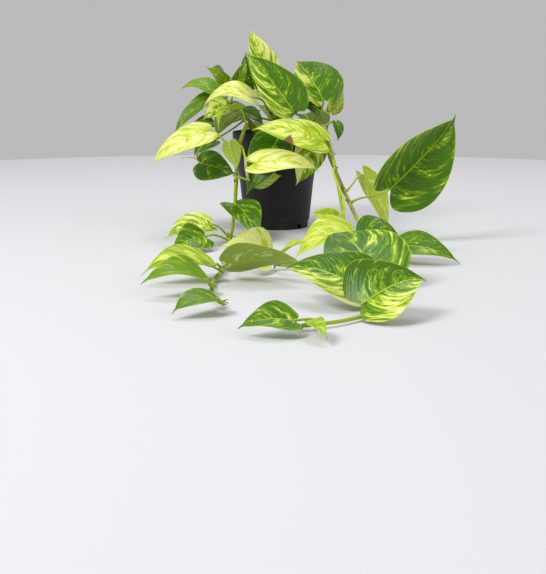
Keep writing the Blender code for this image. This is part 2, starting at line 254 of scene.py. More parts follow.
STEMS = (
    Stem("vine_left", 2.8, "stem_green", 0.3, (
        (-22, -18, 114), (-30, -28, 130), (-38, -44, 141), (-45, -56, 129), (-52, -64, 97), (-54, -82, 50),
        (-57, -112, 15), (-59, -150, 5), (-58, -220, 4), (-56, -300, 4), (-60, -370, 4), (-66, -440, 4),
        (-62, -505, 4), (-50, -552, 5))),
    Stem("vine_middle", 2.6, "stem_green", 0.0, (
        (25, -12, 114), (40, -32, 132), (58, -56, 138), (68, -77, 118), (75, -104, 87), (80, -124, 56),
        (83, -153, 32), (84, -195, 12), (82, -240, 4), (70, -290, 4), (44, -328, 4), (10, -346, 5),
        (-14, -344, 9))),
    Stem("vine_right", 2.8, "stem_woody", 1.0, (
        (40, 2, 114), (52, -18, 138), (65, -42, 134), (68, -68, 106), (76, -88, 84), (89, -116, 54),
        (101, -160, 28), (110, -212, 10), (117, -262, 4), (124, -330, 4), (130, -410, 4), (122, -490, 4),
        (98, -560, 4), (60, -612, 4), (18, -640, 5))),
    Stem("stem_left", 2.4, "stem_green", 0.2, (
        (-20, 8, 114), (-28, 4, 134), (-44, 0, 150), (-60, -2, 162), (-72, 2, 176))),
    Stem("stem_top", 2.6, "stem_green", 0.2, (
        (-2, 10, 114), (-5, 4, 140), (-8, 0, 165), (-2, 4, 186))),
    Stem("stem_right", 2.4, "stem_green", 0.2, (
        (20, 14, 114), (34, 10, 132), (50, 8, 144), (62, 12, 160))),
)

DETAILS = (
    Detail("papery_sheath", "vine_left", "stem_green", PAPER, (
        (-42, -89, 104), (-40, -93, 94), (-38.5, -95, 84), (-37.5, -96, 76), (-35.5, -98, 72)),
        (0.6, 1.8, 2.6, 2.2, 0.5)),
    Detail("curling_tendril", "left_low_leaf", "leaf_dark", YELLOW_GREEN, (
        (-104, -41, 93), (-110, -42, 97), (-117, -44, 98), (-124, -46, 98), (-126, -47, 94)),
        (0.7, 0.5, 0.4, 0.3)),
    Detail("dry_stub", "soil", "potting_soil", STEM_BARK, (
        (-50, -24, 128), (-45, -29, 122), (-40, -32, 116), (-36, -34, 112)),
        (0.9, 1.3, 1.2, 1.0)),
    Detail("snapped_petiole", "soil", "potting_soil", STEM_BARK, (
        (14, -30, 112), (17, -33, 119), (22, -38, 124)),
        (1.1, 1.0, 0.8)),
)

LEAVES = (
    Leaf("crest", "stem_top", 0.98, (-10, 16, 198), (-37, 22, 268), (0.1, -1, 0.3),
         42, 4, 12, 3, -0.1, PALE, 0.35, 0.56, 0.1),
    Leaf("crown_front", "stem_top", 0.72, (19, -58, 164), (-40, -34, 236), (0.25, -1, 0.8),
         64, 3, 8, 5, 0.08, DARK, 0.14, 0.3, -0.2),
    Leaf("right_shoulder", "stem_right", 0.9, (62, -11, 173), (26, 29, 227), (0.42, -1, 0.4),
         69, 5, 22, 3, 0.06, DARK, 0.16, 0.30, -0.32),
    Leaf("right_behind", "stem_right", 0.98, (76, 28, 156), (92, 32, 183), (0.3, -1, 0.1),
         21, 4, 12, 0, 0, PALE, 0.5, 0.5, 0),
    Leaf("long_pale", "vine_middle", 0.24, (57, -94, 124), (-32, -88, 140), (0, -0.8, 0.9),
         52, 9, 6, 3, -0.12, MOTTLED, 0.64, 0.48, 0.0),
    Leaf("front_cream", "vine_left", 0.12, (-28, -116, 97), (54, -112, 90), (0, -0.7, 1),
         47, 9, 8, 3, -0.1, PALE, 0.85, 0.66, 0),
    Leaf("front_dark", "vine_middle", 0.07, (2, -66, 125), (-40, -94, 54), (-0.1, -1, 0.35),
         54, 6, 8, 3, 0.06, DARK, 0.08, 0.12, 0),
    Leaf("front_low", "vine_left", 0.185, (-26, -78, 68), (6, -80, 77), (-0.1, 1, 0.3),
         24, 3, 8, -2, 0, YOUNG, 0.7, 0.4, 0),
    Leaf("right_low", "vine_middle", 0.16, (48, -76, 122), (26, -86, 65), (0.25, -1, 0.1),
         44, 5, 10, 4, -0.1, MOTTLED, 0.3, 0.55, 0.2),
    Leaf("left_cream", "vine_left", 0.13, (-92, -75, 135), (-163, -92, 96), (-0.1, -0.7, 1),
         50, 7, -8, 4, 0.1, PALE, 0.85, 0.62, 0),
    Leaf("left_arch", "vine_left", 0.07, (-50, -62, 164), (-77, -92, 140), (-0.7, -0.4, 0.6),
         22, 10, 20, 3, 0, YOUNG, 0.7, 0.3, 0),
    Leaf("left_upper", "stem_top", 0.6, (-32, -56, 177), (-98, -50, 166), (0, -0.5, 1),
         44, 16, 4, 3, 0.08, PALE, 0.6, 0.65, 0),
    Leaf("left_dark", "stem_left", 0.72, (-91, -14, 176), (-140, -26, 130), (-0.5, -0.7, 0.6),
         29, 3, 6, 4, 0.1, DARK, 0.28, 0.12, 0),
    Leaf("left_low", "stem_left", 0.64, (-103, -42, 91), (-54, -64, 78), (0, -1, 0.35),
         44, 4, -14, 2, 0.08, DARK, 0.12, 0.18, 0),
    Leaf("left_far", "stem_left", 0.8, (-84, -17, 185), (-130, -6, 189), (0, -0.5, 1),
         36, 7, 8, 3, 0.08, YOUNG, 0.4, 0.18, 0),
    Leaf("left_crest", "stem_top", 0.8, (-71, 26, 206), (-88, 10, 216), (-0.2, -0.7, 0.8),
         20, 3, 10, 2, 0, DARK, 0.25, 0.1, 0),
    Leaf("left_slim", "stem_left", 0.97, (-68, 12, 190), (-95, 2, 217), (0.3, -0.8, 0.5),
         22, 3, 14, 2, 0, YOUNG, 0.45, 0.2, 0),
    Leaf("top_slim", "stem_left", 0.86, (-56, -10, 195), (-41, 6, 226), (0.6, -0.8, 0.1),
         19, 3, 14, 2, 0, MOTTLED, 0.35, 0.3, 0),
    Leaf("inner_teal", "stem_top", 0.45, (-46, -26, 157), (-17, -44, 143), (0.2, -0.8, 0.8),
         28, 4, 8, 2, 0.05, DARK, 0.15, 0.08, 0),
    Leaf("inner_dark", "stem_top", 0.4, (-2, -28, 139), (28, -38, 147), (0, -1, 0.4),
         27, 3, 8, 2, 0, DARK, 0.1, 0.05, 0),
    Leaf("inner_right", "stem_right", 0.35, (58, -4, 158), (34, -24, 166), (0, -1, 0.5),
         28, 4, 10, 2, 0, DARK, 0.12, 0.05, 0),
    Leaf("left_teal", "stem_left", 0.55, (-86, -21, 142), (-110, -27, 146), (-0.2, -0.6, 0.8),
         22, 3, 8, 2, 0, DARK, 0.16, 0.1, 0),
    Leaf("left_mottled", "stem_left", 0.6, (-68, -26, 166), (-98, -40, 149), (-0.2, -1, 0.5),
         32, 4, 8, 3, 0.08, MOTTLED, 0.3, 0.5, 0.1),
    Leaf("round_pale", "vine_left", 0.12, (-61, -80, 119), (-51, -86, 86), (0, 1, 0.1),
         24, 3, 4, 0, 0, YOUNG, 0.5, 0.3, 0),
    Leaf("right_edge", "vine_right", 0.07, (79, -36, 144), (82, -42, 120), (0.5, -0.8, 0.3),
         17, 3, 12, 2, 0, DARK, 0.1, 0.1, 0),
    Leaf("left_shadow", "stem_left", 0.5, (-84, -5, 118), (-115, -2, 97), (0, -0.6, 0.8),
         31, 5, 10, 3, 0, DARK, 0.1, 0.08, 0),
    Leaf("back_left", "stem_left", 0.45, (-42, 48, 158), (-90, 96, 118), (-0.3, 0.8, 0.8),
         60, 10, 8, 6, 0.1, DARK, 0.2, 0.25, 0.1),
    Leaf("back_middle", "stem_top", 0.55, (6, 50, 164), (4, 128, 122), (0, 0.8, 0.9),
         68, 12, 8, 6, -0.1, MOTTLED, 0.25, 0.45, -0.2),
    Leaf("back_right", "stem_right", 0.6, (40, 56, 150), (72, 114, 112), (0.3, 0.8, 0.8),
         52, 9, 8, 5, 0.1, DARK, 0.15, 0.2, 0),
    Leaf("back_low", "stem_top", 0.25, (-14, 66, 132), (-22, 104, 66), (0, 1, 0.3),
         56, 9, 10, 5, 0.08, MOTTLED, 0.3, 0.4, 0),
    Leaf("back_low_right", "stem_right", 0.2, (24, 76, 136), (44, 104, 74), (0.3, 1, 0.3),
         44, 8, 10, 4, -0.08, PALE, 0.6, 0.6, 0),
    Leaf("back_high", "stem_top", 0.9, (-30, 34, 188), (-43, 36, 236), (-0.1, -1, 0.2),
         40, 5, 8, 3, 0.05, DARK, 0.05, 0.05, 0),
    Leaf("trail_hanging", "vine_left", 0.2, (-54, -98, 43), (-22, -178, 6), (0.1, -0.6, 0.9),
         48, 8, 8, 2, 0.08, DARK, 0.12, 0.22, 0),
    Leaf("trail_striped", "vine_left", 0.355, (-84, -174, 26), (-138, -186, 12), (0, -0.6, 0.9),
         40, 8, 8, 3, 0.08, MOTTLED, 0.3, 0.5, 0.1),
    Leaf("trail_twin", "vine_left", 0.38, (-88, -206, 16), (-126, -240, 5), (0.2, -0.7, 0.7),
         42, 7, 10, 1, 0, DARK, 0.15, 0.25, 0),
    Leaf("trail_olive", "vine_left", 0.66, (-46, -416, 20), (28, -440, 24), (0, 0.6, 0.8),
         58, 6, 8, 3, 0, YOUNG, 0.4, 0.3, 0),
    Leaf("trail_long", "vine_left", 0.7, (-70, -400, 14), (-138, -434, 16), (0, -0.35, 1),
         50, 10, 12, 4, 0.08, PALE, 0.6, 0.36, 0.1),
    Leaf("trail_outer", "vine_left", 0.85, (-72, -472, 13), (-130, -505, 20), (0, -0.4, 1),
         46, 9, 12, 4, 0.1, PALE, 0.5, 0.18, 0.05),
    Leaf("trail_end", "vine_left", 0.98, (-56, -562, 12), (-94, -596, 8), (-0.1, -0.4, 1),
         36, 6, 10, 1, 0, DARK, 0.3, 0.12, 0),
    Leaf("middle_yellow", "vine_middle", 0.97, (-12, -358, 18), (-58, -374, 34), (0, -0.8, 0.6),
         50, 6, 14, 4, 0.1, PALE, 0.9, 0.7, 0),
    Leaf("middle_furled", "vine_middle", 0.985, (6, -354, 22), (32, -376, 36), (0, -0.5, 1),
         16, 3, 20, 0, 0, YOUNG, 0.9, 0.4, 0),
    Leaf("upright", "vine_right", 0.25, (141, -162, 70), (225, -144, 158), (0.36, -1, -0.1),
         87, 5, 26, 6, 0.04, DARK, 0.14, 0.24, -0.06),
    Leaf("hanging_pale", "vine_right", 0.22, (112, -108, 80), (141, -134, 8), (0.6, 0.7, 0.4),
         38, 6, 8, 3, 0.06, YOUNG, 0.75, 0.4, 0),
    Leaf("low_right", "vine_right", 0.36, (134, -290, 17), (203, -318, 5), (0, -0.6, 1),
         44, 9, 8, 2, 0.1, DARK, 0.2, 0.22, 0.1),
    Leaf("table_dark", "vine_middle", 0.5, (99, -256, 26), (143, -252, 27), (0, -0.6, 1),
         52, 5, 8, 3, 0.05, DARK, 0.1, 0.16, 0),
    Leaf("table_pale", "vine_middle", 0.66, (85, -256, 32), (20, -298, 8), (0, -0.5, 1),
         52, 9, 10, 2, 0.08, PALE, 0.85, 0.5, 0),
    Leaf("curled_young", "vine_middle", 0.29, (72, -178, 36), (42, -174, 41), (0.3, -1, 0.2),
         19, 5, 6, 3, 0, YOUNG, 0.95, 0.3, 0),
    Leaf("heart", "vine_right", 0.68, (98, -455, 16), (62, -362, 48), (0, -0.5, 1),
         88, 7, 8, 4, 0.06, DARK, 0.12, 0.27, 0.12),
    Leaf("broad_mottled", "vine_right", 0.8, (82, -536, 14), (6, -500, 34), (0, -0.5, 1),
         72, 7, 8, 5, 0.08, MOTTLED, 0.12, 0.34, -0.28),
    Leaf("broad_end", "vine_right", 0.88, (74, -590, 14), (132, -572, 36), (0, -0.6, 1),
         78, 6, 8, 5, 0.08, MOTTLED, 0.12, 0.32, 0.3),
    Leaf("small_end", "vine_right", 0.98, (12, -650, 12), (-34, -660, 9), (0, -0.5, 1),
         38, 5, 12, 1, 0, DARK, 0.15, 0.3, 0),
    Leaf("furled_end", "vine_right", 0.99, (26, -654, 12), (38, -696, 8), (0, -0.5, 1),
         16, 3, 20, 0, 0, YOUNG, 0.8, 0.3, 0),
)


class Value:
    """A shader value. Arithmetic on it adds Math nodes."""

    def __init__(self, shader, socket):
        self.shader = shader
        self.socket = socket

    def math(self, operation, *values):
        return self.shader.node("ShaderNodeMath", {"operation": operation}, dict(enumerate(values)))

    def __add__(self, other):
        return self.math("ADD", self, other)

    def __sub__(self, other):
        return self.math("SUBTRACT", self, other)

    def __rsub__(self, other):
        return self.math("SUBTRACT", other, self)

    def __mul__(self, other):
        return self.math("MULTIPLY", self, other)

    def __abs__(self):
        return self.math("ABSOLUTE", self)

    def sine(self):
        return self.math("SINE", self)

    __radd__ = __add__
    __rmul__ = __mul__

    def ease(self, low, high):
        """0 below low, 1 above high and smooth between."""
        values = {"Value": self, "From Min": low, "From Max": high}
        return self.shader.node("ShaderNodeMapRange", {"interpolation_type": "SMOOTHSTEP"}, values)


class Shader:
    """A material under construction."""

    def __init__(self, name):
        self.material = bpy.data.materials.new(name)
        self.material.use_nodes = True
        self.tree = self.material.node_tree
        self.surface = self.tree.nodes["Principled BSDF"]
        self.surface.inputs["Specular IOR Level"].default_value = 0.2

    def connect(self, node, values):
        for key, value in values.items():
            if isinstance(value, Value):
                self.tree.links.new(value.socket, node.inputs[key])
            else:
                node.inputs[key].default_value = value

    def node(self, kind, settings, values, output=0):
        """A new node with its settings, then its sockets' values or links. Gives one of its outputs."""
        made = self.tree.nodes.new(kind)
        for key, value in settings.items():
            setattr(made, key, value)
        self.connect(made, values)
        return Value(self, made.outputs[output])

    def attribute(self, name):
        return self.node("ShaderNodeAttribute", {"attribute_name": name}, {}, "Fac")

    def place(self):
        return self.node("ShaderNodeTexCoord", {}, {}, "Object")

    def split(self, vector):
        return [self.node("ShaderNodeSeparateXYZ", {}, {0: vector}, axis) for axis in range(3)]

    def point(self, x, y, z):
        return self.node("ShaderNodeCombineXYZ", {}, {0: x, 1: y, 2: z})

    def noise(self, vector, scale, detail=2.0, roughness=0.5):
        values = {"Vector": vector, "Scale": scale, "Detail": detail, "Roughness": roughness}
        return self.node("ShaderNodeTexNoise", {}, values, 0)

    def mix(self, share, first, second):
        """A colour between two colours."""
        colours = [v if isinstance(v, Value) else (*v, 1.0) for v in (first, second)]
        return self.node("ShaderNodeMix", {"data_type": "RGBA"}, {0: share, 6: colours[0], 7: colours[1]}, 2)

    def bump(self, height, strength, distance):
        values = {"Height": height, "Strength": strength, "Distance": distance}
        return self.node("ShaderNodeBump", {}, values)

    def finish(self, **values):
        """Sets the surface's sockets, whose names are given with _ for a space."""
        for key, value in values.items():
            name = key.replace("_", " ")
            if not isinstance(value, (Value, float)):
                value = (*value, 1.0)
            self.connect(self.surface, {name: value})
        return self.material


def blade_grid(shader):
    """Across from 0 at the midrib to 1 at the edge, along from 0 to 1, and which half."""
    uv = shader.node("ShaderNodeUVMap", {"uv_map": "blade"}, {})
    across, along, _ = shader.split(uv)
    signed = (across - 0.5) * 2
    half = signed.math("GREATER_THAN", signed, 0.0)
    return abs(signed), along, half


def variegation(shader, across, along, half):
    """The side-vein coordinate, how light each spot of a blade is, and its scattered small flecks.

    The first pattern is yellow-green above 0 and cream above 0.02; the flecks run from 0 to 1.
    """
    seed = shader.attribute("seed")
    vein = along - across * VEIN_SLANT[0] - across * across * VEIN_SLANT[1]

    def marks(along_scale, across_scale, half_shift, leaf_shift, detail, roughness):
        """Noise drawn out along the side veins, different on each half and on each leaf."""
        row = across * across_scale + half * half_shift
        return shader.noise(shader.point(vein * along_scale, row, seed * leaf_shift), 1.0, detail, roughness)

    broad = marks(8.0, 1.3, 7.0, 13.0, 2.0, 0.5)
    streak = marks(30.0, 2.6, 5.0, 29.0, 2.0, 0.6)
    fleck = marks(95.0, 9.0, 3.0, 7.0, 1.0, 0.6)
    spots = marks(62.0, 7.0, 9.0, 17.0, 1.0, 0.5)
    level = 0.70 - shader.attribute("cream") * 0.40
    pattern = broad * 0.50 + streak * 0.34 + fleck * 0.16 - level
    flecks = spots.ease(0.60, 0.64) * (broad + streak * 0.5).ease(0.74, 0.84)
    return vein, pattern, flecks


def upper_finish(name, roughness, coat):
    """The glossy upper side of a blade, with variegation that runs out along its side veins."""
    shader = Shader(name)
    across, along, half = blade_grid(shader)
    vein, pattern, flecks = variegation(shader, across, along, half)
    tone = shader.attribute("tone")
    grain = shader.noise(shader.place(), 900.0, 2.0)
    lines = (vein * (math.tau * VEIN_COUNT * 2)).sine()
    green = shader.mix(tone + lines.ease(0.2, 1.0) * 0.05, DEEP_GREEN, LIGHT_GREEN)
    lighter = shader.mix(tone, MID_GREEN, YELLOW_GREEN)
    colour = shader.mix(pattern.ease(-0.12, -0.03), green, lighter)
    colour = shader.mix(flecks * 0.9, colour, YELLOW_GREEN)
    colour = shader.mix(pattern.ease(-0.012, 0.015), colour, YELLOW_GREEN)
    colour = shader.mix(pattern.ease(0.018, 0.055), colour, CREAM)
    colour = shader.mix(pattern.ease(0.070, 0.150), colour, PALE_CREAM)
    midrib = 1 - across.ease(0.008, 0.032)
    colour = shader.mix(midrib * 0.65, colour, YELLOW_GREEN)
    edge = across.ease(0.968, 1.0)
    colour = shader.mix(edge * 0.55, colour, YELLOW_GREEN)
    dry = (shader.attribute("dry") + (grain - 0.5) * 0.3).ease(*DRY_RANGE)
    colour = shader.mix(dry, colour, DRY_BROWN)
    height = lines * 0.45 + grain * 0.25
    rough = roughness + grain * 0.10 + pattern.ease(0.0, 0.05) * 0.06 + dry * 0.3
    return shader.finish(
        Base_Color=colour, Roughness=rough, Coat_Weight=coat, Coat_Roughness=0.25,
        Normal=shader.bump(height, 0.35, 0.4 * MM),
    )


def lower_finish(name, roughness):
    """The paler, duller underside of a blade, where the veins stand out."""
    shader = Shader(name)
    across, along, half = blade_grid(shader)
    vein, pattern, _ = variegation(shader, across, along, half)
    tone = shader.attribute("tone")
    colour = shader.mix(tone * 0.8, BACK_GREEN, YELLOW_GREEN)
    colour = shader.mix(pattern.ease(-0.03, 0.05), colour, BACK_PALE)
    lines = (vein * (math.tau * VEIN_COUNT)).sine()
    colour = shader.mix(lines.ease(0.90, 1.0) * 0.35, colour, BACK_PALE)
    midrib = 1 - across.ease(0.02, 0.06)
    colour = shader.mix(midrib * 0.7, colour, YELLOW_GREEN)
    colour = shader.mix(shader.attribute("dry").ease(*DRY_RANGE), colour, DRY_BROWN)
    grain = shader.noise(shader.place(), 700.0, 2.0)
    height = lines.ease(0.7, 1.0) + grain * 0.3
    return shader.finish(
        Base_Color=colour, Roughness=roughness + grain * 0.12,
        Normal=shader.bump(height, 0.3, 0.4 * MM),
    )


def stem_finish(name, green, bark):
    """A stem: green or woody by its own attribute, with brown rings at its nodes and fine ridges."""
    shader = Shader(name)
    woody = shader.attribute("woody")
    ring = shader.attribute("ring")
    turn = shader.attribute("turn")
    length = shader.attribute("length")
    streak = shader.noise(shader.point(length * 0.05, turn * 3.0, woody), 2.0, 3.0)
    patch = shader.noise(shader.place(), 120.0, 3.0)
    colour = shader.mix((streak - 0.35) * 1.2, green, YELLOW_GREEN)
    wood = shader.mix(patch, bark, [c * SHADE_AND_DARK_BARK for c in bark])
    colour = shader.mix((woody * 1.4 + patch - 0.7).ease(0.2, 0.6), colour, wood)
    colour = shader.mix(ring, colour, NODE_BROWN)
    ridges = shader.noise(shader.point(length * 0.08, turn * 14.0, 0.0), 2.0, 2.0)
    height = ridges * 0.6 + patch * woody
    return shader.finish(
        Base_Color=colour, Roughness=0.42 + woody * 0.25 + ring * 0.2,
        Normal=shader.bump(height, 0.45, 0.5 * MM),
    )


def petiole_finish():
    """A petiole and the midrib's underside: mottled green with fine ridges along it."""
    shader = Shader("petiole_green")
    place = shader.place()
    mottle = shader.noise(place, 90.0, 3.0)
    around = shader.point(shader.attribute("u") * 2.0, shader.attribute("turn") * 3.0, 0.0)
    ridges = shader.noise(around, 2.0, 2.0)
    colour = shader.mix(shader.attribute("tone") * 0.6 + (mottle - 0.4) * 0.8, PETIOLE_GREEN, YELLOW_GREEN)
    return shader.finish(
        Base_Color=colour, Roughness=0.40 + mottle * 0.1, Normal=shader.bump(ridges, 0.3, 0.4 * MM),
    )


def withered_finish(name, colour):
    """A dry or very young scrap of stem, darker in its creases: painted shade that follows its bump."""
    shader = Shader(name)
    crease = shader.noise(shader.place(), 420.0, 3.0, 0.6)
    # Painted shade: where the crease noise, which is also the bump, is low, the colour is darkened.
    shade = shader.mix(crease.ease(0.35, 0.65), [c * SHADE_AND_DARK_BARK for c in colour], colour)
    return shader.finish(Base_Color=shade, Roughness=0.7, Normal=shader.bump(crease, 0.5, 0.4 * MM))


def pot_finish():
    """Satin black moulded plastic, slightly dusty towards its foot, with a fine orange-peel surface."""
    shader = Shader("black_plastic")
    place = shader.place()
    height = shader.split(place)[2] * (1 / MM)
    dust = shader.noise(place, 42.0, 5.0, 0.65)
    scuff = shader.noise(place, 260.0, 3.0, 0.6)
    peel = shader.noise(place, 1500.0, 2.0)
    low = 1 - height.ease(0.0, 45.0)
    share = dust.ease(0.50, 0.78) * (0.10 + low * 0.35) + scuff.ease(0.66, 0.74) * 0.18
    colour = shader.mix(share, PLASTIC_BLACK, PLASTIC_DUST)
    return shader.finish(
        Base_Color=colour, Roughness=0.40 + dust * 0.16 + low * 0.08,
        Normal=shader.bump(peel + scuff * 0.4, 0.10, 0.2 * MM),
    )


def soil_finish():
    """Damp potting mix: dark crumb with lighter fibre."""
    shader = Shader("potting_mix")
    place = shader.place()
    crumb = shader.noise(place, 260.0, 6.0, 0.7)
    fibre = shader.noise(place, 900.0, 3.0, 0.6)
    colour = shader.mix(crumb.ease(0.35, 0.7), PEAT_DARK, PEAT_LIGHT)
    colour = shader.mix(fibre.ease(0.62, 0.75) * 0.6, colour, PEAT_FIBRE)
    return shader.finish(
        Base_Color=colour, Roughness=0.9 - crumb * 0.15,
        Normal=shader.bump(crumb + fibre * 0.4, 0.9, 1.2 * MM),
    )


def catmull_rom(a, b, c, d, t):
    """The point at t, from 0 at b to 1 at c, on the smooth curve through four points."""
    return 0.5 * (2 * b + (c - a) * t + (2 * a - 5 * b + 4 * c - d) * t**2 + (3 * b - a - 3 * c + d) * t**3)


def smooth_route(route, step):
    """Points about step apart on a smooth curve through the route's points, in millimetres."""
    points = [Vector(p) for p in route]
    ends = [2 * points[0] - points[1], *points, 2 * points[-1] - points[-2]]
    line = []
    for i in range(len(points) - 1):
        steps = max(1, round((points[i + 1] - points[i]).length / step))
        line += [catmull_rom(*ends[i : i + 4], k / steps) for k in range(steps)]
    line.append(points[-1])
    return line


def point_at(line, share):
    """The point at a share of a line's length, and the line's direction there."""
    lengths = [(b - a).length for a, b in zip(line, line[1:])]
    left = share * sum(lengths)
    for a, b, length in zip(line, line[1:], lengths):
        if left <= length:
            return a.lerp(b, left / length), (b - a).normalized()
        left -= length
    return line[-1], (line[-1] - line[-2]).normalized()


def bezier(a, b, c, d, t):
    """The point at t on the cubic curve from a to d that b and c pull."""
    return (1 - t) ** 3 * a + 3 * (1 - t) ** 2 * t * b + 3 * (1 - t) * t**2 * c + t**3 * d


def past(share, start):
    """0 up to start, then evenly up to 1 at 1."""
    return max(0.0, (share - start) / (1 - start))


class LeafShape:
    """Where each point of one leaf lies, in millimetres."""

    def __init__(self, leaf, seed):
        self.leaf = leaf
        self.seed = seed
        self.base = Vector(leaf.base)
        chord = Vector(leaf.tip) - self.base
        self.length = chord.length
        self.along = chord.normalized()
        face = Vector(leaf.face)
        self.normal = (face - self.along * face.dot(self.along)).normalized()
        self.side = self.along.cross(self.normal)

    def outline(self, t):
        """Half the blade's width at t, from 0 at its base to 1 at its tip, as a share of its greatest."""
        pinch = 1 - TIP_PINCH * math.exp(-(((t - TIP_PINCH_PLACE) / TIP_PINCH_LENGTH) ** 2))
        return (t + BASE_BLUNTNESS) ** 0.5 * (1 - t) ** TIP_TAPER / OUTLINE_PEAK * pinch

    def relief(self, u, t, across):
        """The groove along the midrib, the swell between side veins and the wave of the edge."""
        a = abs(u)
        groove = -GROOVE_DEPTH * math.exp(-((across / GROOVE_WIDTH) ** 2)) * (1 - t) ** 0.5
        vein = t - VEIN_SLANT[0] * a - VEIN_SLANT[1] * a * a
        swell = VEIN_RELIEF * math.cos(math.tau * VEIN_COUNT * vein) * math.sin(math.pi * min(1, a * 1.05))
        swell *= min(1.0, (1 - t) * 4) * min(1.0, self.leaf.width / FULL_RELIEF_WIDTH)
        phase = self.seed * WAVE_SHIFT + (WAVE_OFFSET if u > 0 else 0)
        wave = WAVE_HEIGHT * self.leaf.width * a**2.5 * (1 - t) ** 0.4
        wave *= math.sin(math.tau * WAVE_TURNS * t + phase)
        return groove + swell + wave

    def blade(self, u, t):
        """The point at u across, from -1 to 1, and t along the blade."""
        leaf = self.leaf
        half = max(leaf.width / 2 * self.outline(t), TIP_HALF_WIDTH)
        across = abs(u) * half
        share = t - LOBE * math.sin(LOBE_SWEEP * abs(u)) * (1 - t) ** 3
        lift = 4 * leaf.arch * share * (1 - share) + across * math.tan(math.radians(leaf.fold))
        lift += leaf.roll * across * abs(u) - leaf.droop * past(share, DROOP_START) ** 2
        lift -= TIP_CURL * leaf.width * past(share, TIP_CURL_START) ** 2
        lift += self.relief(u, t, across)
        place = self.base + self.along * (share * self.length) + self.normal * lift
        place += self.side * math.copysign(across, u)
        place.z = max(place.z, SURFACE_GAP)
        return place

    def petiole(self, line, radius):
        """The petiole's centreline, from inside its stem to the blade's base."""
        place, tangent = point_at(line, self.leaf.station)
        out = self.base - place
        out = (out - tangent * out.dot(tangent)).normalized()
        start = place + out * (radius + PETIOLE_GAP)
        reach = (self.base - start).length * PETIOLE_REACH
        leave = (out + (self.base - start).normalized()).normalized()
        arrive = (self.along * 2 + (self.base - start).normalized()).normalized()
        path = [place]
        for k in range(PETIOLE_STEPS + 1):
            t = k / PETIOLE_STEPS
            path.append(bezier(start, start + leave * reach, self.base - arrive * reach, self.base, t))
        return path


def tube(bm, path, radii, sides, describe=None):
    """A closed round tube along a path. describe(vert, step, turn) may set each corner's attributes."""
    side = (path[1] - path[0]).orthogonal().normalized()
    ring = bmesh.ops.create_circle(bm, cap_ends=True, radius=1.0, segments=sides)["verts"]
    turns = [math.atan2(v.co.y, v.co.x) for v in ring]
    edges = list(dict.fromkeys(e for v in ring for e in v.link_edges))
    for step, (place, radius) in enumerate(zip(path, radii)):
        ahead = path[min(step + 1, len(path) - 1)]
        behind = path[max(step - 1, 0)]
        tangent = (ahead - behind).normalized()
        side = (side - tangent * side.dot(tangent)).normalized()
        up = tangent.cross(side)
        if step:
            extruded = bmesh.ops.extrude_edge_only(bm, edges=edges)["geom"]
            edges = [e for e in extruded if isinstance(e, bmesh.types.BMEdge)]
            after = {}
            for v in (v for v in extruded if isinstance(v, bmesh.types.BMVert)):
                before = next(o for e in v.link_edges for o in (e.other_vert(v),) if o in ring_index)
                after[ring_index[before]] = v
            ring = [after[i] for i in range(sides)]
        ring_index = {v: i for i, v in enumerate(ring)}
        for i, vert in enumerate(ring):
            vert.co = place + (side * math.cos(turns[i]) + up * math.sin(turns[i])) * radius
            if describe:
                describe(vert, step, turns[i])
    bmesh.ops.contextual_create(bm, geom=edges)


def closed_mesh(bm, name, materials, sharp=60):
    """A smooth object from a bmesh in millimetres, with edges sharper than an angle kept crisp."""
    bmesh.ops.scale(bm, vec=(MM, MM, MM), verts=bm.verts)
    mesh = bpy.data.meshes.new(name)
    bm.to_mesh(mesh)
    bm.free()
    mesh.shade_smooth()
    mesh.set_sharp_from_angle(angle=math.radians(sharp))
    for material in materials:
        mesh.materials.append(material)
    piece = bpy.data.objects.new(name, mesh)
    bpy.context.scene.collection.objects.link(piece)
    return piece


def keep(piece, node):
    """Hangs a piece under the root body and hides the imported part of the node that it stands for."""
    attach(piece, "root")
    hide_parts(node)


def dryness(leaf, u, t):
    """How dry a blade is: its very tip, and one scorched patch on the edge of one blade."""
    dry = past(t, DRY_TIP_START) * DRY_TIP
    if leaf.name == SCORCHED:
        across, along = (u - SCORCH_PLACE[0]) / SCORCH_SIZE[0], (t - SCORCH_PLACE[1]) / SCORCH_SIZE[1]
        dry = max(dry, 1 - abs(across) - abs(along))
    return dry


def make_blade(bm, layers, shape):
    """The blade: a grid bent to its shape and thickened, with material 0 above and 1 below."""
    leaf = shape.leaf
    bmesh.ops.create_grid(bm, x_segments=BLADE_COLUMNS, y_segments=BLADE_ROWS, size=1.0)
    for vert in bm.verts:
        u, t = vert.co.x, (vert.co.y + 1) / 2
        vert[layers["u"]], vert[layers["t"]] = u, t
        vert[layers["tone"]] = leaf.tone
        vert[layers["cream"]] = leaf.cream + leaf.bias * u
        vert[layers["seed"]] = shape.seed
        vert[layers["dry"]] = dryness(leaf, u, t)
        vert.co = shape.blade(u, t)
    bmesh.ops.recalc_face_normals(bm, faces=bm.faces)
    if sum(f.normal.dot(shape.normal) for f in bm.faces) < 0:
        bmesh.ops.reverse_faces(bm, faces=bm.faces)
    bmesh.ops.solidify(bm, geom=list(bm.faces), thickness=BLADE_THICKNESS)
    for face in bm.faces:
        face.material_index = 0 if face.normal.dot(shape.normal) > 0 else 1
    bmesh.ops.recalc_face_normals(bm, faces=bm.faces)


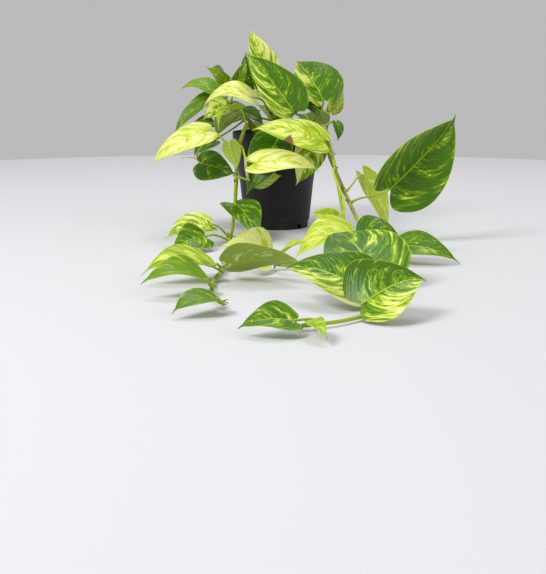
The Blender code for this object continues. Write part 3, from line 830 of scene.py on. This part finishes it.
def make_petiole(bm, layers, shape, line, radius):
    """The petiole, from inside its stem to the blade and on under it as the midrib, in material 2."""
    path = shape.petiole(line, radius)
    count = len(path)
    flare = [PETIOLE_FOOT if k < 2 else 1 + 0.5 * math.exp(-(k - 1) / 2) for k in range(count)]
    radii = [PETIOLE_RADIUS * share for share in flare]
    for k in range(1, MIDRIB_STEPS + 1):
        t = MIDRIB_SHARE * k / MIDRIB_STEPS
        path.append(shape.blade(0, t) - shape.normal * (BLADE_THICKNESS + MIDRIB_DROP))
        radii.append(PETIOLE_RADIUS * MIDRIB_START * (1 - MIDRIB_TAPER * t / MIDRIB_SHARE))

    def describe(vert, step, turn):
        vert[layers["turn"]] = turn
        vert[layers["t"]] = 0.1
        vert[layers["u"]] = step / count
        vert[layers["tone"]] = shape.leaf.tone

    before = set(bm.faces)
    tube(bm, path, radii, PETIOLE_SIDES, describe)
    stalk = [f for f in bm.faces if f not in before]
    for face in stalk:
        face.material_index = 2
    bmesh.ops.recalc_face_normals(bm, faces=stalk)


def make_leaf(leaf, seed, line, radius, finishes):
    """One leaf. line and radius are its stem's, and finishes are those of materials 0, 1 and 2."""
    shape = LeafShape(leaf, seed)
    bm = bmesh.new()
    uv = bm.loops.layers.uv.new("blade")
    layers = {name: bm.verts.layers.float.new(name) for name in LEAF_LAYERS}
    make_blade(bm, layers, shape)
    make_petiole(bm, layers, shape, line, radius)
    for face in bm.faces:
        for loop in face.loops:
            loop[uv].uv = (0.5 + 0.5 * loop.vert[layers["u"]], loop.vert[layers["t"]])
    keep(closed_mesh(bm, f"{leaf.name}_blade", finishes), f"{leaf.name}_leaf")


def add_root(bm, place, tangent, radius, chance, layers):
    """A short aerial root that pushes out of a stem beside a node."""
    aim = Vector((chance.uniform(-1, 1), chance.uniform(-1, 1), chance.uniform(-0.4, 1)))
    out = (aim - tangent * aim.dot(tangent)).normalized()
    length = chance.uniform(2.5, 6.0)
    start = place + tangent * chance.uniform(-2.5, 2.5)
    steps = [radius * 0.6, radius + length * 0.3, radius + length * 0.7, radius + length]
    path = [start + out * reach + Vector((0, 0, -0.05 * k * k)) for k, reach in enumerate(steps)]
    for point in path:
        point.z = max(point.z, SURFACE_GAP)

    def describe(vert, step, turn):
        vert[layers["ring"]] = 0.85 if step < 3 else 0.35

    tube(bm, path, ROOT_RADII, ROOT_SIDES, describe)


def make_detail(detail, finish):
    """A small piece drawn along a few points: a sheath, a tendril or a dry stub."""
    bm = bmesh.new()
    line = smooth_route(detail.route, DETAIL_STEP)
    last = len(line) - 1
    radii = []
    for k in range(len(line)):
        share = k / last * (len(detail.radii) - 1)
        low = min(int(share), len(detail.radii) - 2)
        radii.append(detail.radii[low] + (detail.radii[low + 1] - detail.radii[low]) * (share - low))
    tube(bm, line, radii, DETAIL_SIDES)
    bmesh.ops.recalc_face_normals(bm, faces=bm.faces)
    keep(closed_mesh(bm, detail.name, [finish]), detail.node)


def make_stem(stem, stations, finish):
    """A stem that thins towards its tip, swollen and ringed where leaves grow from it."""
    line = smooth_route(stem.route, STEM_RING_STEP)
    line[0] = Vector((line[1].x, line[1].y, SOIL_TOP - STEM_FOOT_DEPTH))
    lengths = [0.0]
    for a, b in zip(line, line[1:]):
        lengths.append(lengths[-1] + (b - a).length)
    total = lengths[-1]
    bm = bmesh.new()
    layers = {name: bm.verts.layers.float.new(name) for name in ("woody", "ring", "turn", "length")}
    radii = []
    rings = []
    for reached in lengths:
        gap = min(abs(reached - station * total) for station in stations)
        swell = NODE_SWELL * math.exp(-((gap / NODE_LENGTH) ** 2))
        rings.append(math.exp(-((gap / NODE_RING_LENGTH) ** 2)))
        radii.append(stem.radius * (1 - STEM_TAPER * reached / total) * (0.94 + swell))
    radii[-1] *= 0.6

    def describe(vert, step, turn):
        vert[layers["turn"]] = turn
        vert[layers["length"]] = lengths[step]
        vert[layers["ring"]] = rings[step] * 0.8
        vert[layers["woody"]] = stem.woody * max(0.0, 1 - lengths[step] / total * WOODY_FADE)

    tube(bm, line, radii, STEM_SIDES, describe)
    chance = random.Random(stem.name)
    for station in stations:
        place, tangent = point_at(line, station)
        for _ in range(ROOT_COUNT):
            add_root(bm, place, tangent, stem.radius * (1 - STEM_TAPER * station), chance, layers)
    bmesh.ops.recalc_face_normals(bm, faces=bm.faces)
    keep(closed_mesh(bm, f"{stem.name}_stalk", [finish]), stem.name)


def wall_radius(height):
    """The outer radius of the pot's tapered wall at a height, without its rim band."""
    return POT_FOOT_RADIUS + (POT_RIM_RADIUS - POT_RIM_STEP - POT_FOOT_RADIUS) * height / POT_HEIGHT


def turned(profile, sides):
    """A solid turned about Z from an outline that runs from the axis back to the axis, in millimetres."""
    bm = bmesh.new()
    ring = [bm.verts.new((radius, 0, height)) for radius, height in profile]
    edges = [bm.edges.new(pair) for pair in zip(ring, ring[1:])]
    bmesh.ops.spin(
        bm, geom=ring + edges, cent=(0, 0, 0), axis=(0, 0, 1), angle=math.tau, steps=sides, use_merge=True
    )
    bmesh.ops.remove_doubles(bm, verts=bm.verts, dist=0.001)
    bmesh.ops.recalc_face_normals(bm, faces=bm.faces)
    return bm


def pot_profile():
    """The pot's outline from the axis underneath, up its outer side and down inside to the axis."""
    band_foot = POT_HEIGHT - POT_RIM_BAND
    plate_top = POT_BASE_GAP + POT_WALL
    ring_inside = POT_FOOT_RADIUS - POT_FOOT_RING
    step = wall_radius(POT_FOOT_HEIGHT)
    return (
        (0.0, 0.0), (POT_BOSS_RADIUS, 0.0), (POT_BOSS_RADIUS + 1.0, POT_BASE_GAP),
        (ring_inside, POT_BASE_GAP), (ring_inside + 0.5, 0.0),
        (POT_FOOT_RADIUS - 0.6, 0.0), (POT_FOOT_RADIUS - 0.15, 0.2), (POT_FOOT_RADIUS, 0.6),
        (step - 0.35, POT_FOOT_HEIGHT - 0.4), (step - 0.5, POT_FOOT_HEIGHT),
        (step - 0.2, POT_FOOT_HEIGHT + 0.4), (step + POT_FOOT_STEP, POT_FOOT_HEIGHT + 0.8),
        (step + POT_FOOT_STEP + 0.2, POT_FOOT_HEIGHT + 2.0),
        (wall_radius(POT_LEDGE), POT_LEDGE), (wall_radius(POT_LEDGE) + 0.35, POT_LEDGE + 0.5),
        (wall_radius(band_foot), band_foot - 1.2), (POT_RIM_RADIUS - 0.4, band_foot - 0.2),
        (POT_RIM_RADIUS, band_foot + 0.4), (POT_RIM_RADIUS, POT_HEIGHT - 1.0),
        (POT_RIM_RADIUS - 0.25, POT_HEIGHT - 0.3), (POT_RIM_RADIUS - 0.8, POT_HEIGHT),
        (POT_RIM_RADIUS - POT_WALL - 0.2, POT_HEIGHT), (POT_RIM_RADIUS - POT_WALL - 0.6, POT_HEIGHT - 0.5),
        (wall_radius(band_foot) - POT_WALL, band_foot - 1.2),
        (wall_radius(plate_top) - POT_WALL, plate_top), (0.0, plate_top),
    )


def slot_cutter(turn, name):
    """A block with rounded upper corners, across the pot's foot at an angle about Z."""
    bm = bmesh.new()
    bmesh.ops.create_cube(bm, size=1.0)
    bmesh.ops.scale(bm, vec=(SLOT_DEPTH, SLOT_WIDTH, 2 * SLOT_HEIGHT), verts=bm.verts)
    upright = [
        e for e in bm.edges
        if min(v.co.z for v in e.verts) > 0 and abs(e.verts[0].co.y - e.verts[1].co.y) < 1
    ]
    bmesh.ops.bevel(
        bm, geom=upright, offset=SLOT_CORNER, offset_type="OFFSET", affect="EDGES", segments=3,
        profile=0.5, material=-1,
    )
    reach = POT_FOOT_RADIUS - 0.5
    bmesh.ops.rotate(bm, cent=(0, 0, 0), matrix=Matrix.Rotation(turn, 3, "Z"), verts=bm.verts)
    bmesh.ops.translate(bm, vec=(reach * math.cos(turn), reach * math.sin(turn), 0), verts=bm.verts)
    return closed_mesh(bm, name, [])


def make_pot():
    """The nursery pot: rim band with a rolled lip, tapered wall, stepped foot and drainage slots."""
    piece = closed_mesh(turned(pot_profile(), POT_SIDES), "pot_shell", [pot_finish()], 35)
    cutters = []
    for i in range(SLOT_COUNT):
        cut = piece.modifiers.new(f"slot_{i}", "BOOLEAN")
        cut.operation = "DIFFERENCE"
        cut.object = slot_cutter(math.radians(SLOT_TURN + 360.0 * i / SLOT_COUNT), f"slot_{i}")
        cutters.append(cut.object)
    bpy.context.view_layer.update()
    solved = piece.evaluated_get(bpy.context.evaluated_depsgraph_get())
    cut_mesh = bpy.data.meshes.new_from_object(solved)
    piece.modifiers.clear()
    piece.data = cut_mesh
    for cutter in cutters:
        bpy.data.objects.remove(cutter)
    keep(piece, "pot")


def add_crumb(bm, k, reach_limit, chance):
    """A loose crumb on the soil. Every ninth is larger, and every fifth is long, like bark."""
    turn = chance.uniform(0, math.tau)
    reach = reach_limit * math.sqrt(chance.random())
    size = chance.uniform(0.7, 1.9) * (1.5 if k % 9 == 0 else 1)
    crumb = bmesh.ops.create_icosphere(bm, subdivisions=1, radius=size)["verts"]
    for vert in crumb:
        vert.co *= 1 + 0.35 * noise.noise(vert.co * 1.3 + Vector((k, 0, 0)))
    stretch = chance.uniform(1.0, 2.2) if k % 5 == 0 else 1.0
    bmesh.ops.scale(bm, vec=(stretch, 1, 0.6), verts=crumb)
    spin = Matrix.Rotation(chance.uniform(0, math.tau), 3, "Z")
    bmesh.ops.rotate(bm, cent=(0, 0, 0), matrix=spin, verts=crumb)
    place = (reach * math.cos(turn), reach * math.sin(turn), SOIL_TOP - 0.7)
    bmesh.ops.translate(bm, vec=place, verts=crumb)


def make_soil():
    """The potting mix: an uneven crust with loose crumbs and bits of bark on it."""
    low = POT_BASE_GAP + POT_WALL + SOIL_GAP
    rim = wall_radius(SOIL_TOP) - POT_WALL - SOIL_GAP
    crust = [(rim * (1 - k / SOIL_RINGS), SOIL_TOP) for k in range(1, SOIL_RINGS + 1)]
    profile = ((0.0, low), (wall_radius(low) - POT_WALL - SOIL_GAP, low), (rim, SOIL_TOP - 1.5), *crust)
    bm = turned(profile, SOIL_SIDES)
    for vert in bm.verts:
        if vert.co.z > SOIL_TOP - 1:
            vert.co.z += CRUST_ROUGHNESS * noise.fractal(vert.co * 0.22, 0.8, 2.1, 5) - CRUST_DROP
    chance = random.Random(CRUMB_SEED)
    for k in range(CRUMB_COUNT):
        add_crumb(bm, k, rim - 3, chance)
    keep(closed_mesh(bm, "soil_crust", [soil_finish()]), "soil")


def make_floor():
    """The round floor that the pot stands on."""
    bm = bmesh.new()
    bmesh.ops.create_circle(bm, cap_ends=True, radius=FLOOR_RADIUS, segments=128)
    mesh = bpy.data.meshes.new("studio_floor")
    bm.to_mesh(mesh)
    bm.free()
    mesh.materials.append(Shader("floor_white").finish(Base_Color=FLOOR_COLOUR, Roughness=0.65))
    floor = bpy.data.objects.new("studio_floor", mesh)
    bpy.context.scene.collection.objects.link(floor)


def make_light(light):
    lamp = bpy.data.lights.new(light.name, "AREA")
    lamp.shape = "DISK"
    lamp.size = light.size
    lamp.energy = light.power
    thing = bpy.data.objects.new(light.name, lamp)
    thing.location = light.place
    aim = Vector(LIGHT_TARGET) - Vector(light.place)
    thing.rotation_euler = aim.to_track_quat("-Z", "Y").to_euler()
    bpy.context.scene.collection.objects.link(thing)


def make_studio():
    """An even pale sky, three soft lights and the camera."""
    world = bpy.data.worlds.new("studio")
    world.use_nodes = True
    sky = world.node_tree.nodes["Background"].inputs
    sky["Color"].default_value = (*SKY_COLOUR, 1.0)
    sky["Strength"].default_value = SKY_STRENGTH
    bpy.context.scene.world = world
    for light in LIGHTS:
        make_light(light)
    camera = bpy.data.objects.new("camera", bpy.data.cameras.new("camera"))
    camera.location = CAMERA_PLACE
    camera.rotation_euler = (math.radians(90 - CAMERA_TILT), 0, 0)
    camera.data.lens = CAMERA_LENS
    camera.data.sensor_width = CAMERA_SENSOR
    bpy.context.scene.collection.objects.link(camera)
    bpy.context.scene.camera = camera
    bpy.context.scene.view_settings.view_transform = "Standard"


def make_plant():
    """Every leaf in order, each on its stem, then the stems and the small scraps."""
    lower = lower_finish("blade_underside", 0.5)
    stalk = petiole_finish()
    uppers = {
        DARK: upper_finish("blade_deep_green", 0.30, 0.14),
        MOTTLED: upper_finish("blade_mottled", 0.30, 0.13),
        PALE: upper_finish("blade_cream", 0.36, 0.10),
        YOUNG: upper_finish("blade_young", 0.34, 0.12),
    }
    radii = {stem.name: stem.radius for stem in STEMS}
    lines = {stem.name: smooth_route(stem.route, ROUTE_STEP) for stem in STEMS}
    for seed, leaf in enumerate(LEAVES, 1):
        make_leaf(leaf, seed, lines[leaf.stem], radii[leaf.stem], [uppers[leaf.slot], lower, stalk])
    skin = stem_finish("stem_skin", STEM_GREEN, STEM_BARK)
    for stem in STEMS:
        make_stem(stem, [leaf.station for leaf in LEAVES if leaf.stem == stem.name], skin)
    for detail in DETAILS:
        make_detail(detail, withered_finish(detail.name, detail.colour))


make_studio()
make_floor()
make_plant()
make_pot()
make_soil()
